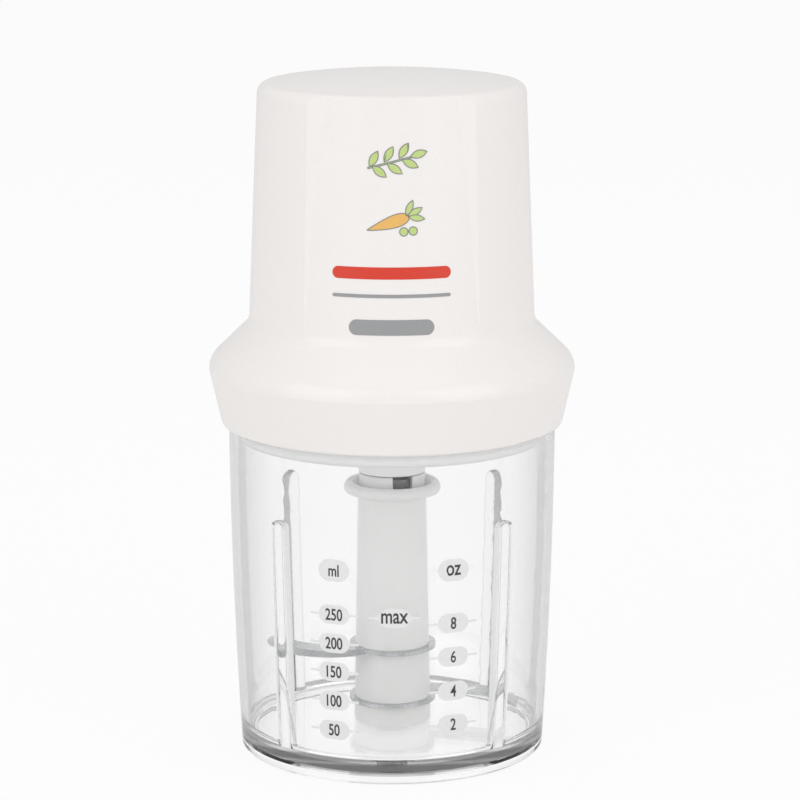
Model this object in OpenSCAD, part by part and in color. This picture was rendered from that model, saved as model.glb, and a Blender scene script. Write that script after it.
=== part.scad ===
// Electric mini chopper: a press-to-run motor head on a clear measuring bowl with a turning blade.
// Lengths are in millimetres, +Z is up, the front faces -Y, and the origin is the middle of the foot.

/* [Bowl] */
// Height of the bowl from the table to its rim
bowl_h = 105; // [97:1:125]
// Outer radius of the bowl at its rim
bowl_rim_r = 47.7; // [46.6:0.1:52]
// How much wider the bowl is at its rim than at its foot, in radius
bowl_spread = 3.1; // [1:0.1:6]
// Thickness of the bowl wall
bowl_wall = 2.2; // [1.6:0.1:3]
// Height of the hollow foot under the floor
foot_h = 3; // [2.4:0.2:6]
// Thickness of the bowl floor
floor_t = 3.4; // [2.4:0.2:4.4]
// Radius of the corner between floor and wall inside the bowl
floor_fillet = 3; // [1:0.5:5]
// Height of the stirring ribs above the table
rib_top = 75; // [50:0.2:80]
// Radius of one half-round stirring rib
rib_r = 2.75; // [2:0.05:3.2]
// Number of stirring ribs
rib_count = 4; // [3:1:6]
// Radius of the steel spindle in the floor
spindle_r = 3; // [2.4:0.1:3.6]
// Length of the spindle above the floor
spindle_len = 52; // [40:1:56]

/* [Lid] */
// How far the lid's plug hangs below the rim
lid_drop = 12.2; // [8:0.2:14]
// Wall thickness of the lid
lid_wall = 2; // [1.6:0.1:2.6]
// Radius of the plug's lower edge
lid_edge_r = 2.6; // [1:0.2:4]
// Radius of the sleeve around the drive shaft, and of the crown under it
sleeve_r = 9.8; // [9.6:0.1:11]
// How far the sleeve hangs below the plug
sleeve_drop = 10.4; // [9:0.1:13]
// Width of a locating key between lid, bowl and head
key_w = 8; // [5:0.5:12]

/* [Blade] */
// Radius of the blade column under its collar
column_top_r = 10; // [9.6:0.1:11]
// Radius of the blade column at its foot
column_low_r = 11.2; // [11:0.1:13]
// Radius of the finger collar at the top of the column
grip_r = 14.3; // [13:0.1:18]
// Radius of the round edge of the finger collar
grip_edge_r = 1.75; // [1.2:0.05:2.2]
// Thickness of a blade
blade_t = 1.2; // [0.8:0.1:2]
// Height of the lower blade above the table
lower_blade_z = 13; // [12.4:0.2:20]
// Height of the upper blade above the table
upper_blade_z = 29; // [24:0.5:44]
// Room between the blade tips and the stirring ribs
blade_tip_gap = 2; // [1:0.2:5]
// Width of the ground edge of a blade
blade_bevel = 3; // [1.5:0.1:4]

/* [Head] */
// How far the collar reaches down over the bowl
collar_overlap = 7.7; // [5:0.1:12]
// Height of the collar's flare from its lip to its widest line
collar_h = 15.9; // [14:0.1:19]
// How much wider the collar is at its widest line than at its lip
collar_flare = 3.6; // [2:0.1:6]
// Wall thickness at the collar's lip
lip_wall = 1.6; // [1.4:0.1:2.6]
// Wall thickness of the motor housing
shell_wall = 2.2; // [1.6:0.1:2.8]
// Radius of the rounded shoulder
shoulder_r = 6.5; // [4:0.5:9]
// Radius of the hollow between shoulder and neck
waist_r = 4.5; // [3:0.5:9]
// Slope of the shoulder from the vertical, in degrees
shoulder_slope = 46; // [40:1:52]
// Draft of the neck, in degrees
neck_draft = 2.4; // [1:0.05:3]
// Thickness from the motor's corners to the outside of the neck
neck_cover = 5; // [4.4:0.1:7]
// Radius of the neck's top edge
top_round = 3.2; // [1.5:0.1:5]
// Rise of the palm dome on top
dome_rise = 2.8; // [1.5:0.1:6]
// Room above the motor shaft
top_room = 0.6; // [0.4:0.1:6]
// Depth of the front panel's recess at the top
panel_depth = 1.6; // [0.6:0.1:2.2]
// Half width of the front panel
panel_half_w = 24.7; // [18:0.1:27]
// Turn of the panel's side facets, in degrees
panel_facet = 16; // [8:0.5:20]
// Number of air slots in the back
vent_count = 9; // [5:2:11]
// Height of one air slot
vent_h = 16; // [8:1:20]
// Width of one air slot
vent_w = 2; // [1.2:0.1:3]
// Radius of the cord hole in the gland
cord_r = 3.6; // [2.5:0.1:4]

/* [Press mechanism] */
// Travel of the head when it is pressed
press_travel = 3; // [2:0.1:3.4]
// Length of the return springs at rest
spring_len = 6.6; // [6:0.1:8]
// Wire diameter of the return springs
spring_wire = 0.7; // [0.5:0.05:0.8]
// Mean radius of the return springs
spring_r = 3.1; // [3:0.1:3.6]
// Turns of the return springs
spring_turns = 3.5; // [2.5:0.5:4]
// Thickness of the seat ring
seat_t = 2.4; // [2:0.1:4]
// Radius of a guide post on the seat ring
guide_r = 2; // [1.8:0.1:2.3]
// Thickness of the motor base plate
plate_t = 2.6; // [2:0.1:3.4]

/* [Motor] */
// Height of the stator stack
core_h = 24; // [18:0.5:30]
// Radius of the armature
armature_r = 15.8; // [14:0.1:16.4]
// Air gap between armature and stator
air_gap = 0.5; // [0.3:0.05:0.8]
// Depth of a field coil between its pole shoe and the yoke
coil_depth = 3.3; // [2.8:0.1:5]
// How far the windings stand out of the stack
coil_over = 7.6; // [6:0.2:10]
// Radius of the motor shaft
shaft_r = 4; // [3.4:0.1:4.4]
// Radius of the cooling fan
fan_r = 18.5; // [15:0.5:19]
// Height of the cooling fan
fan_h = 5.5; // [4:0.1:7]
// Number of fan vanes
fan_vanes = 12; // [8:1:16]
// Radius of the commutator
commutator_r = 11; // [9:0.2:12]
// Length of the commutator
commutator_h = 13.4; // [12.8:0.1:16]
// Number of commutator bars
commutator_bars = 18; // [12:1:24]
// Width of a carbon brush
brush_w = 6; // [4:0.2:7]
// Length of a carbon brush
brush_len = 11; // [8:0.2:12]
// Width of the drive dog's lugs
lug_w = 5.4; // [4:0.1:6]

/* [Clearances] */
// Gap between collar and bowl
collar_gap = 0.4; // [0.3:0.05:0.8]
// Gap between lid plug and bowl
lid_gap = 0.3; // [0.25:0.05:0.6]
// Gap between parts that slide or turn past each other
slide_gap = 0.3; // [0.25:0.05:0.5]
// Radial gap of a shaft in its bearing
run_gap = 0.05; // [0.02:0.01:0.09]

/* [Hidden] */
$fn = 96;

// A cut that has to break a face runs this far past it
over = 1;
// Colours of the materials
white_plastic = [0.95, 0.94, 0.93];
milky_plastic = [0.9, 0.9, 0.89];
clear_plastic = [0.88, 0.92, 0.94, 0.35];
steel = [0.72, 0.73, 0.74];
dark_steel = [0.36, 0.37, 0.38];
copper = [0.72, 0.42, 0.24];
brass = [0.78, 0.64, 0.32];
black_rubber = [0.12, 0.12, 0.12];
graphite = [0.2, 0.2, 0.21];
cream_plastic = [0.86, 0.83, 0.74];
yellow_plastic = [0.85, 0.72, 0.2];
gland_plastic = [0.85, 0.85, 0.84];

// The unit step in a direction of the drawing plane
function toward(a) = [cos(a), sin(a)];

// Bowl: the side is one long arc that stands upright at the rim
bowl_foot_r = bowl_rim_r - bowl_spread;
side_r = (pow(bowl_h, 2) + pow(bowl_spread, 2)) / (2 * bowl_spread);
side_c = [bowl_rim_r - side_r, bowl_h];
side_turn = asin(bowl_h / side_r);
side_fn = 1440;
function on_side(r, z) = side_c.x + sqrt(pow(r, 2) - pow(z - side_c.y, 2));
function bowl_r(z) = on_side(side_r, z);
function bowl_in_r(z) = on_side(side_r - bowl_wall, z);
floor_z = foot_h + floor_t;
foot_extra = 0.3;
foot_wall = bowl_wall + foot_extra;
foot_edge = 0.6;
foot_corner = 1;
rib_skin = 0.15;
rib_inset = rib_r - bowl_wall + rib_skin;
rib_root = 0.5;
rib_foot_z = floor_z - rib_root;
rib_cap_z = rib_top - rib_r;
rib_foot_r = bowl_in_r(rib_foot_z) - rib_inset;
rib_cap_r = bowl_in_r(rib_cap_z) - rib_inset;
rib_turn = 45;
boss_r = 7;
boss_taper = 0.5;
boss_h = 2.2;
boss_z = floor_z + boss_h;
spindle_seat = 2;
spindle_tip = 0.8;
spindle_foot_z = floor_z - spindle_seat;
spindle_top_z = floor_z + spindle_len;

// Lid: a plug in the bowl, a flange on its rim and a sleeve round the drive shaft
plug_r = bowl_rim_r - bowl_wall - lid_gap;
plug_bottom_z = bowl_h - lid_drop;
plug_floor_z = plug_bottom_z + lid_wall;
lid_top_z = bowl_h + lid_wall;
lid_edge_least = 0.4;
lid_in_edge_r = max(lid_edge_r - lid_wall, lid_edge_least);
sleeve_wall = 1.3;
sleeve_bore_r = sleeve_r - sleeve_wall;
sleeve_bottom_z = plug_bottom_z - sleeve_drop;
key_h = 2.4;
key_count = 3;
key_turn = 60;
key_inset = 0.3;

// Drive dog and crown: the dog drops into slots of the crown and slides down in them when pressed
dog_wall = 1.6;
dog_r = shaft_r + dog_wall;
dog_h = 13;
dog_floor = 2;
lug_reach = sleeve_bore_r - slide_gap;
lug_h = 4;
lug_turn = 19.5;
crown_r = sleeve_r;
crown_gap = 0.35;
crown_edge = 0.2;
crown_top_z = sleeve_bottom_z - crown_gap;
dog_drop = 5;
dog_bottom_z = crown_top_z - dog_drop;
socket_r = dog_r + slide_gap;
socket_web = 2.5;
slot_floor_z = dog_bottom_z - press_travel - 2 * slide_gap;

// Blade column: tapers from its foot to the finger collar, which is dished round the crown
column_foot_z = floor_z + 2 * slide_gap;
crown_rise = 2.65;
dish_depth = 2.2;
grip_flare = 1.2;
grip_top_z = crown_top_z - crown_rise;
grip_c = [grip_r - grip_edge_r, grip_top_z - grip_edge_r];
grip_under_z = grip_c.y - grip_edge_r;
dish_z = grip_top_z - dish_depth;
dish_low = [crown_r, dish_z];
dish_way = dish_low - grip_c;
// The dish's slope leaves the round edge as its tangent
dish_turn = 360 + atan2(dish_way.y, dish_way.x) - acos(min(1, grip_edge_r / norm(dish_way)));
column_top_z = grip_under_z - grip_flare * 2 / 3;
bush_wall = 1.8;
bush_in_r = spindle_r + run_gap;
bush_r = spindle_r + bush_wall;
bush_foot_z = boss_z;
bush_top_z = min(spindle_top_z + over, slot_floor_z - socket_web);
foot_recess_r = boss_r + 3 * slide_gap;
foot_recess_z = boss_z + slide_gap;
blade_root_wall = 1.4;
blade_root_r = bush_r + blade_root_wall;
blade_ring_r = column_low_r + blade_root_wall;
blade_reach = bowl_in_r(lower_blade_z) - rib_inset - rib_r - blade_tip_gap;
// The cutting edge and the back of a blade are two circles of one size, set apart
blade_edge_r = 0.52 * blade_reach;
blade_edge_c = [0.48, -0.16] * blade_reach;
blade_back_c = blade_edge_c - [0.03, 0.27] * blade_reach;
blade_land = 0.25;

// Head: heights stack up from the lid, and the shell wraps what it holds
seat_top_z = lid_top_z + seat_t;
plate_z = seat_top_z + spring_len;
plate_top_z = plate_z + plate_t;
fan_gap = 1.8;
fan_room = 1.3;
fan_z = plate_top_z + fan_gap;
coil_low_z = fan_z + fan_h + fan_room;
core_z = coil_low_z + coil_over;
core_top_z = core_z + core_h;
coil_top_z = core_top_z + coil_over;
bridge_gap = 1;
bridge_t = 3;
bridge_inset = 2;
bridge_z = coil_top_z + bridge_gap;
bridge_top_z = bridge_z + bridge_t;
commutator_gap = 2.2;
commutator_z = coil_top_z + commutator_gap;
commutator_top_z = commutator_z + commutator_h;
arch_gap = 2.5;
arch_t = 5.5;
arch_z = commutator_top_z + arch_gap;
shaft_over = 0.6;
shaft_top_z = arch_z + arch_t + shaft_over;

// Stator: the yoke is as wide as its coils need, and as deep as its pole shoes need
bore_r = armature_r + air_gap;
shoe_t = 2.7;
shoe_half_angle = 58;
shoe_tip_gap = 0.9;
pole_half_w = 0.52 * bore_r;
yoke_t = 7;
yoke_gap = 0.4;
coil_gap = 0.3;
coil_side_gap = 0.8;
coil_corner = 5;
coil_in_x = bore_r + shoe_t + coil_gap;
coil_out_x = coil_in_x + coil_depth;
stator_w = 2 * (coil_out_x + yoke_gap + yoke_t);
stator_d = 2 * ((bore_r + shoe_t) * sin(shoe_half_angle) + shoe_tip_gap + yoke_t);
coil_half_w = stator_d / 2 - yoke_t - coil_side_gap;
stator_corner = 8;
cavity_corner = 1.5;
stator_reach = norm([stator_w / 2 - stator_corner, stator_d / 2 - stator_corner]) + stator_corner;

// Collar: flares from the lip, which wraps the bowl's rim, to the widest line
lip_in_r = bowl_rim_r + collar_gap;
lip_z = bowl_h - collar_overlap;
lip_r = lip_in_r + lip_wall;
lip_land = 2;
lip_round = 1.2;
flare_turn = atan(collar_flare / collar_h);
lip_c = [lip_r + lip_round * (tan(flare_turn) - 1 / cos(flare_turn)), lip_z + lip_round];
wide_r = lip_r + collar_flare;
wide_z = lip_z + collar_h;

// Neck: stands clear of the stator's corners and narrows upwards
function neck_r(z) = stator_reach + neck_cover - (z - core_top_z) * tan(neck_draft);
shoulder_c = [wide_r - shoulder_r, wide_z];
// The waist's arc touches both the sloping shoulder line and the neck
waist_x_low = neck_r(0) + waist_r / cos(neck_draft);
waist_rise = wide_z * sin(shoulder_slope) - (waist_x_low - shoulder_c.x) * cos(shoulder_slope);
waist_z = (shoulder_r + waist_r + waist_rise)
    / (sin(shoulder_slope) - tan(neck_draft) * cos(shoulder_slope));
waist_c = [neck_r(waist_z) + waist_r / cos(neck_draft), waist_z];
edge_z = shaft_top_z + top_room + shell_wall + top_round;
panel_low_r = neck_r(waist_z);
panel_top_r = neck_r(edge_z) - panel_depth;
// Inside, the wall leans in further, so that it stays whole behind the panel's recess
neck_in_draft = atan(tan(neck_draft) + panel_depth / (edge_z - waist_z));
function neck_line(inset, draft, z) =
    waist_c.x - (waist_r + inset) / cos(draft) - (z - waist_z) * tan(draft);
// Wide enough for a cut to reach past the whole head
far = 4 * wide_r;

// Inner radius of the shell on the shoulder's arc or its sloping line
shoulder_in_r = shoulder_r - shell_wall;
slope_start = shoulder_c + shoulder_in_r * toward(shoulder_slope);
function shoulder_r_at(z) = z < slope_start.y
    ? shoulder_c.x + sqrt(pow(shoulder_in_r, 2) - pow(z - wide_z, 2))
    : slope_start.x - (z - slope_start.y) * tan(shoulder_slope);

plate_gap = 0.4;
plate_r = shoulder_r_at(plate_top_z) - plate_gap;
screw_count = 3;
screw_r = 1.5;
screw_head_r = 3;
screw_head_h = 2.2;
screw_boss_r = 3.6;
screw_boss_sink = 1;
screw_pcr = panel_low_r - shell_wall + screw_boss_sink;
screw_turn = 30;
// The bosses end inside the sloping wall of the shoulder
slope_mid = shoulder_c + (shoulder_r - shell_wall / 2) * toward(shoulder_slope);
screw_boss_z = slope_mid.y + (slope_mid.x - screw_pcr - screw_boss_r) / tan(shoulder_slope);
screw_end = 1;
screw_len = screw_boss_z - plate_top_z - screw_end;

guide_count = 3;
guide_turn = 60;
guide_head_step = 1.3;
guide_head_r = guide_r + guide_head_step;
guide_head_h = 2;
guide_screw_r = 1.2;
guide_screw_len = 6;
// The guide heads stay clear of the sloping wall when the head is pressed
guide_pcr = min(
    shoulder_r_at(plate_top_z + guide_head_h + press_travel),
    panel_low_r - shell_wall
) - guide_head_r - 2 * slide_gap;
seat_inset = 0.2;
seat_land = 2;
seat_r = bowl_rim_r - seat_inset;
seat_in_r = guide_pcr - guide_r - seat_land;
seat_key_h = lid_wall - slide_gap;

spigot_r = 11.5;
spigot_z = plug_floor_z + press_travel + 2 * slide_gap;
spigot_lip = 1.2;
bearing_wall = 4;
bearing_r = shaft_r + bearing_wall;
seal_z = spigot_z + spigot_lip;
seal_h = 3.2;
bearing_z = seal_z + seal_h;
bearing_h = plate_top_z - bearing_z;
shaft_step = 1;
top_shaft_r = shaft_r - shaft_step;
top_bearing_wall = 3;
top_bearing_r = top_shaft_r + top_bearing_wall;

bolt_r = 1.75;
bolt_gap = 0.05;
bolt_inset = 5;
bolt_x = stator_w / 2 - bolt_inset;
bolt_y = stator_d / 2 - bolt_inset;
bolt_head_r = 3.2;
bolt_head_h = 2.4;
bolt_grip = 8;
pillar_r = 3.4;

bridge_hole = 2.5;
bridge_hole_over = 0.5;
arch_leg_gap = 3.5;
arch_leg_t = 4;
arch_leg_x = commutator_r + arch_leg_gap;
arch_side = 1.5;
arch_w = 2 * (top_bearing_r + arch_side);

brush_taller = 0.4;
brush_h = brush_w + brush_taller;
holder_wall = 1.2;
holder_gap = 1.6;
holder_in_y = commutator_r + holder_gap;
brush_gap = 0.1;
brush_spring_len = 6.4;
brush_back_y = commutator_r + brush_gap + brush_len;
holder_end_y = brush_back_y + brush_spring_len;
holder_out_y = holder_end_y + holder_wall;
brush_z = bridge_top_z + holder_wall + brush_gap;
brush_spring_r = 2.1;
brush_spring_wire = 0.5;
brush_spring_turns = 4;
spring_seat = 0.05;

switch_half_d = 4;
switch_half_w = 10;
switch_wall_gap = 3.1;
switch_x = panel_low_r - shell_wall - switch_wall_gap - switch_half_d;
switch_pad_h = 2.6;
switch_pad_w = 3;
switch_z = plate_top_z + switch_pad_h;
switch_h = 12;
push_r = 2;
push_over = 1;
push_top_z = plate_top_z + push_over;
push_tab_w = 9;
plunger_r = push_r;
plunger_h = 6.4;
plunger_gap = 0.2;
plunger_bore_r = plunger_r + plunger_gap;
plunger_room = plunger_h + press_travel + 2 * slide_gap;

capacitor = [22, 7, 12];
capacitor_wall_gap = 2.6;
capacitor_y = panel_low_r - shell_wall - capacitor_wall_gap - capacitor.y;

gland_rise = 10;
gland_z = core_z + gland_rise;
gland_pad_r = 8.5;
gland_pad_t = 1.8;
gland_face_y = neck_r(gland_z) + gland_pad_t;
gland_wall = 1.9;
gland_r = cord_r + gland_wall;
gland_flange_inset = 0.8;
gland_flange_t = 2;
gland_nose = 4.6;
gland_nose_root = 0.6;
gland_nose_tip = 0.2;
gland_tail = 6.4;
gland_relief = 0.8;
gland_relief_end = 0.2;
vent_drop = 8;
vent_pitch = 8;
vent_z = edge_z - top_round - vent_drop - vent_h;

armature_slots = 12;
armature_slot_w = 2.2;
armature_slot_d = 6;
winding_inset = 1.4;
winding_round = 2.5;
winding_end_gap = 0.4;
winding_hub = 1.5;
groove_w = 0.5;
groove_d = 1;
fan_disc_t = 1.4;
fan_hub = 3;
fan_hub_r = shaft_r + fan_hub;
fan_vane_t = 1.2;
fan_vane_inset = 0.3;

module ring(r_out, r_in, h) {
    difference() {
        cylinder(h = h, r = r_out);
        translate([0, 0, -over]) cylinder(h = h + 2 * over, r = r_in);
    }
}

module at_height(z) translate([0, 0, z]) children();

module turned(count, first) for (i = [0:count - 1]) rotate(first + i * 360 / count) children();

// A rectangle with round corners
module round_rect(w, d, r) {
    square([w - 2 * r, d], center = true);
    square([w, d - 2 * r], center = true);
    for (x = [r - w / 2, w / 2 - r], y = [r - d / 2, d / 2 - r])
        translate([x, y]) circle(r = r);
}

// What a rounded corner loses: all beyond a circle, between two directions seen from its centre
module round_off(c, r, from, to) {
    reach = 3 * r;
    difference() {
        polygon([
            c,
            c + reach * toward(from),
            c + reach * toward((from + to) / 2),
            c + reach * toward(to)
        ]);
        translate(c) circle(r = r);
    }
}

// A coil spring along +Z from z = 0, as one tube
function coil_point(r, wire, len, turns, t) =
    [r * cos(360 * turns * t), r * sin(360 * turns * t), wire / 2 + (len - wire) * t];

module coil_spring(r, wire, len, turns) {
    rings = ceil(turns * 8);
    sides = 6;
    flat = 0.98;
    pitch = (len - wire) / turns;
    lead = atan(pitch / (2 * PI * r));
    points = [
        for (i = [0:rings], j = [0:sides - 1])
            let(
                a = 360 * turns * i / rings,
                b = 360 * (j + 0.5) / sides,
                side = cos(b) * wire / 2,
                up = sin(b) * wire / 2 * flat,
                back = up * sin(lead)
            )
            coil_point(r, wire, len, turns, i / rings)
                + [side * cos(a) + back * sin(a), side * sin(a) - back * cos(a), up * cos(lead)]
    ];
    wall = [
        for (i = [0:rings - 1], j = [0:sides - 1], half = [0, 1])
            let(k = (j + 1) % sides, low = i * sides, high = low + sides)
            half == 0 ? [low + j, high + k, low + k] : [low + j, high + j, high + k]
    ];
    first_cap = [for (j = [1:sides - 2]) [0, j, j + 1]];
    last = rings * sides;
    last_cap = [for (j = [1:sides - 2]) [last, last + j + 1, last + j]];
    echo(least_gap_between_turns = pitch * cos(lead) - wire);
    polyhedron(points, concat(wall, first_cap, last_cap));
}

module bowl() {
    color(clear_plastic)
    difference() {
        union() {
            rotate_extrude() difference() {
                bowl_outline();
                bowl_hollow();
            }
            at_height(floor_z - over)
                cylinder(h = boss_h + over, r1 = boss_r + boss_taper, r2 = boss_r - boss_taper);
            turned(rib_count, rib_turn) rib();
        }
        at_height(spindle_foot_z) cylinder(h = spindle_seat + boss_h + over, r = spindle_r);
        turned(key_count, 0)
            translate([bowl_rim_r, 0, bowl_h])
            cube([3 * bowl_wall, key_w + 2 * slide_gap, 2 * (key_h + slide_gap)], center = true);
    }
}

// The outside of the bowl with its hollow foot
module bowl_outline() {
    foot_in_r = bowl_foot_r - foot_wall;
    past_r = bowl_rim_r + over;
    difference() {
        polygon([
            [foot_in_r, 0], [bowl_foot_r - foot_edge, 0],
            [past_r, past_r - bowl_foot_r + foot_edge], [past_r, bowl_h],
            [0, bowl_h], [0, foot_h],
            [foot_in_r - foot_corner, foot_h], [foot_in_r, foot_h - foot_corner]
        ]);
        beyond_side(side_r);
    }
}

// The room inside the bowl, with a round corner at its floor
module bowl_hollow() {
    fillet_z = floor_z + floor_fillet;
    fillet_c = [on_side(side_r - bowl_wall - floor_fillet, fillet_z), fillet_z];
    fillet_turn = -asin((bowl_h - fillet_z) / (side_r - bowl_wall - floor_fillet));
    past = [bowl_rim_r + over, bowl_h + over];
    difference() {
        polygon([[0, floor_z], [past.x, floor_z], past, [0, past.y]]);
        beyond_side(side_r - bowl_wall);
        round_off(fillet_c, floor_fillet, -90, fillet_turn);
    }
}

// All that lies beyond one face of the bowl's side
module beyond_side(r) {
    lap = 1;
    round_off(side_c, r, -side_turn - lap, lap, $fn = side_fn);
}

// One stirring rib: a half-round bar down the inside of the wall, with a domed top
module rib() {
    lean = atan((rib_cap_r - rib_foot_r) / (rib_cap_z - rib_foot_z));
    bar = norm([rib_cap_r - rib_foot_r, rib_cap_z - rib_foot_z]);
    translate([rib_foot_r, 0, rib_foot_z])
        rotate([0, lean, 0]) {
            cylinder(h = bar, r = rib_r);
            at_height(bar) sphere(r = rib_r);
        }
}

module blade_spindle() {
    shank = spindle_top_z - spindle_foot_z - spindle_tip;
    color(steel)
    at_height(spindle_foot_z) {
        cylinder(h = shank, r = spindle_r);
        at_height(shank) cylinder(h = spindle_tip, r1 = spindle_r, r2 = spindle_r - spindle_tip);
    }
}

module lid() {
    wall_r = plug_r - lid_wall;
    inner_c = [wall_r - lid_in_edge_r, plug_floor_z + lid_in_edge_r];
    color(milky_plastic)
    difference() {
        union() {
            rotate_extrude() difference() {
                polygon([
                    [sleeve_bore_r, sleeve_bottom_z], [sleeve_r, sleeve_bottom_z], [sleeve_r, plug_bottom_z],
                    [plug_r, plug_bottom_z], [plug_r, bowl_h],
                    [bowl_rim_r, bowl_h], [bowl_rim_r, lid_top_z], [wall_r, lid_top_z],
                    [wall_r, inner_c.y], [inner_c.x, plug_floor_z], [sleeve_bore_r, plug_floor_z]
                ]);
                round_off([plug_r - lid_edge_r, plug_bottom_z + lid_edge_r], lid_edge_r, -90, 0);
                translate(inner_c) circle(r = lid_in_edge_r);
            }
            turned(key_count, 0) lid_key();
        }
        turned(key_count, key_turn)
            translate([bowl_rim_r, 0, bowl_h])
            cube([2 * (bowl_wall - key_inset), key_w + 2 * slide_gap, 4 * lid_wall], center = true);
    }
}

// A tongue under the flange that stops the lid turning in the bowl's rim
module lid_key() {
    intersection() {
        at_height(bowl_h - key_h) ring(bowl_rim_r - key_inset, plug_r - key_inset, key_h + lid_wall / 2);
        translate([bowl_rim_r, 0, bowl_h]) cube([4 * bowl_wall, key_w, 4 * key_h], center = true);
    }
}

module blade_column() {
    slot_w = lug_w + 2 * slide_gap;
    slot_h = crown_top_z - slot_floor_z + over;
    dish_high = grip_c + grip_edge_r * toward(dish_turn);
    color(white_plastic)
    difference() {
        rotate_extrude() {
            polygon([
                [0, column_foot_z], [column_low_r, column_foot_z], [column_top_r, column_top_z],
                [column_top_r + grip_flare / 3, grip_under_z - grip_flare / 6],
                [column_top_r + grip_flare, grip_under_z],
                [grip_c.x, grip_under_z], dish_high, dish_low,
                [crown_r, crown_top_z - crown_edge], [crown_r - crown_edge, crown_top_z],
                [0, crown_top_z]
            ]);
            translate(grip_c) circle(r = grip_edge_r);
        }
        at_height(slot_floor_z) cylinder(h = slot_h, r = socket_r);
        rotate(lug_turn) {
            translate([-slot_w / 2, -lug_reach - slide_gap, slot_floor_z])
                cube([slot_w, 2 * (lug_reach + slide_gap), slot_h]);
            translate([-slot_w / 2, -crown_r - over, dish_z])
                cube([slot_w, 2 * (crown_r + over), crown_top_z - dish_z + over]);
        }
        at_height(column_foot_z - over) cylinder(h = foot_recess_z - column_foot_z + over, r = foot_recess_r);
        at_height(foot_recess_z - over) cylinder(h = bush_top_z - foot_recess_z + over, r = bush_r);
        blade_plate(lower_blade_z, 0);
        blade_plate(upper_blade_z, 180);
    }
}

module column_bush() {
    color(brass)
        at_height(bush_foot_z) ring(bush_r, bush_in_r, bush_top_z - bush_foot_z);
}

// A sickle blade with a ring root that is moulded into the column
module blade_plate(z, turn) {
    at_height(z) rotate(turn) difference() {
        linear_extrude(blade_t) difference() {
            union() {
                circle(r = blade_ring_r);
                intersection() {
                    circle(r = blade_reach);
                    difference() {
                        translate(blade_edge_c) circle(r = blade_edge_r);
                        translate(blade_back_c) circle(r = blade_edge_r);
                    }
                }
            }
            circle(r = blade_root_r);
        }
        difference() {
            translate(blade_edge_c)
                rotate_extrude()
                polygon([
                    [blade_edge_r - blade_bevel, blade_t],
                    [blade_edge_r, blade_land],
                    [blade_edge_r + over, blade_land],
                    [blade_edge_r + over, blade_t + over],
                    [blade_edge_r - blade_bevel, blade_t + over]
                ]);
            at_height(-over) cylinder(h = blade_t + 3 * over, r = blade_ring_r);
        }
    }
}

module lower_blade() color(steel) blade_plate(lower_blade_z, 0);

module upper_blade() color(steel) blade_plate(upper_blade_z, 180);

// A flat ring that rests on the lid, with guide posts and the rod that works the switch
module seat_ring() {
    color(white_plastic)
    difference() {
        union() {
            at_height(lid_top_z) ring(seat_r, seat_in_r, seat_t);
            translate([switch_x - push_tab_w / 2, -push_tab_w / 2, lid_top_z])
                cube([seat_in_r + over - switch_x + push_tab_w / 2, push_tab_w, seat_t]);
            translate([switch_x, 0, seat_top_z - over])
                cylinder(h = push_top_z - seat_top_z + over, r = push_r);
            turned(guide_count, guide_turn)
                translate([guide_pcr, 0, seat_top_z - over])
                cylinder(h = plate_top_z - seat_top_z + over, r = guide_r);
            turned(key_count, key_turn) seat_key();
        }
        turned(guide_count, guide_turn)
            translate([guide_pcr, 0, plate_top_z - guide_screw_len])
            cylinder(h = guide_screw_len + over, r = guide_screw_r);
    }
}

// A tongue under the seat ring that drops into the lid's flange
module seat_key() {
    intersection() {
        at_height(lid_top_z - seat_key_h)
            ring(seat_r - key_inset, bowl_rim_r - bowl_wall + 3 * key_inset, seat_key_h + seat_t / 2);
        translate([bowl_rim_r, 0, lid_top_z]) cube([4 * bowl_wall, key_w, 4 * seat_key_h], center = true);
    }
}

module guide_screws() {
    color(steel)
    turned(guide_count, guide_turn)
        translate([guide_pcr, 0, plate_top_z]) {
            cylinder(h = guide_head_h, r = guide_head_r);
            at_height(-guide_screw_len) cylinder(h = guide_screw_len + over, r = guide_screw_r);
        }
}

module return_springs() {
    color(steel)
    turned(guide_count, guide_turn)
        translate([guide_pcr, 0, seat_top_z + spring_seat])
        coil_spring(spring_r, spring_wire, spring_len - 2 * spring_seat, spring_turns);
}

// The housing's side from the widest line up, set in by a wall: shoulder, waist, neck, top edge, dome
module shell_profile(low, inset, draft) {
    shoulder_round = shoulder_r - inset;
    waist_round = waist_r + inset;
    edge_round = top_round - inset;
    edge_c_z = edge_z - top_round;
    edge_c = [neck_line(inset, draft, edge_c_z) - edge_round / cos(draft), edge_c_z];
    apex_z = edge_z + dome_rise - inset;
    apex_rise = apex_z - edge_c_z;
    dome_r = (pow(edge_c.x, 2) + pow(apex_rise, 2) - pow(edge_round, 2)) / (2 * (apex_rise - edge_round));
    dome_c = [0, apex_z - dome_r];
    dome_turn = atan2(edge_c.y - dome_c.y, edge_c.x);
    lap = 1;
    difference() {
        polygon(concat(low, [
            [wide_r - inset, wide_z],
            [wide_r - inset, wide_z + shoulder_round * tan(shoulder_slope / 2)],
            waist_c + waist_round * toward(180 + shoulder_slope),
            waist_c + waist_round * toward(180 + draft),
            [neck_line(inset, draft, apex_z), apex_z],
            [0, apex_z]
        ]));
        round_off(shoulder_c, shoulder_round, 0, shoulder_slope);
        translate(waist_c) circle(r = waist_round);
        round_off(edge_c, edge_round, draft, dome_turn);
        round_off(dome_c, dome_r, dome_turn - lap, 180 + lap - dome_turn, $fn = 960);
    }
}

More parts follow.
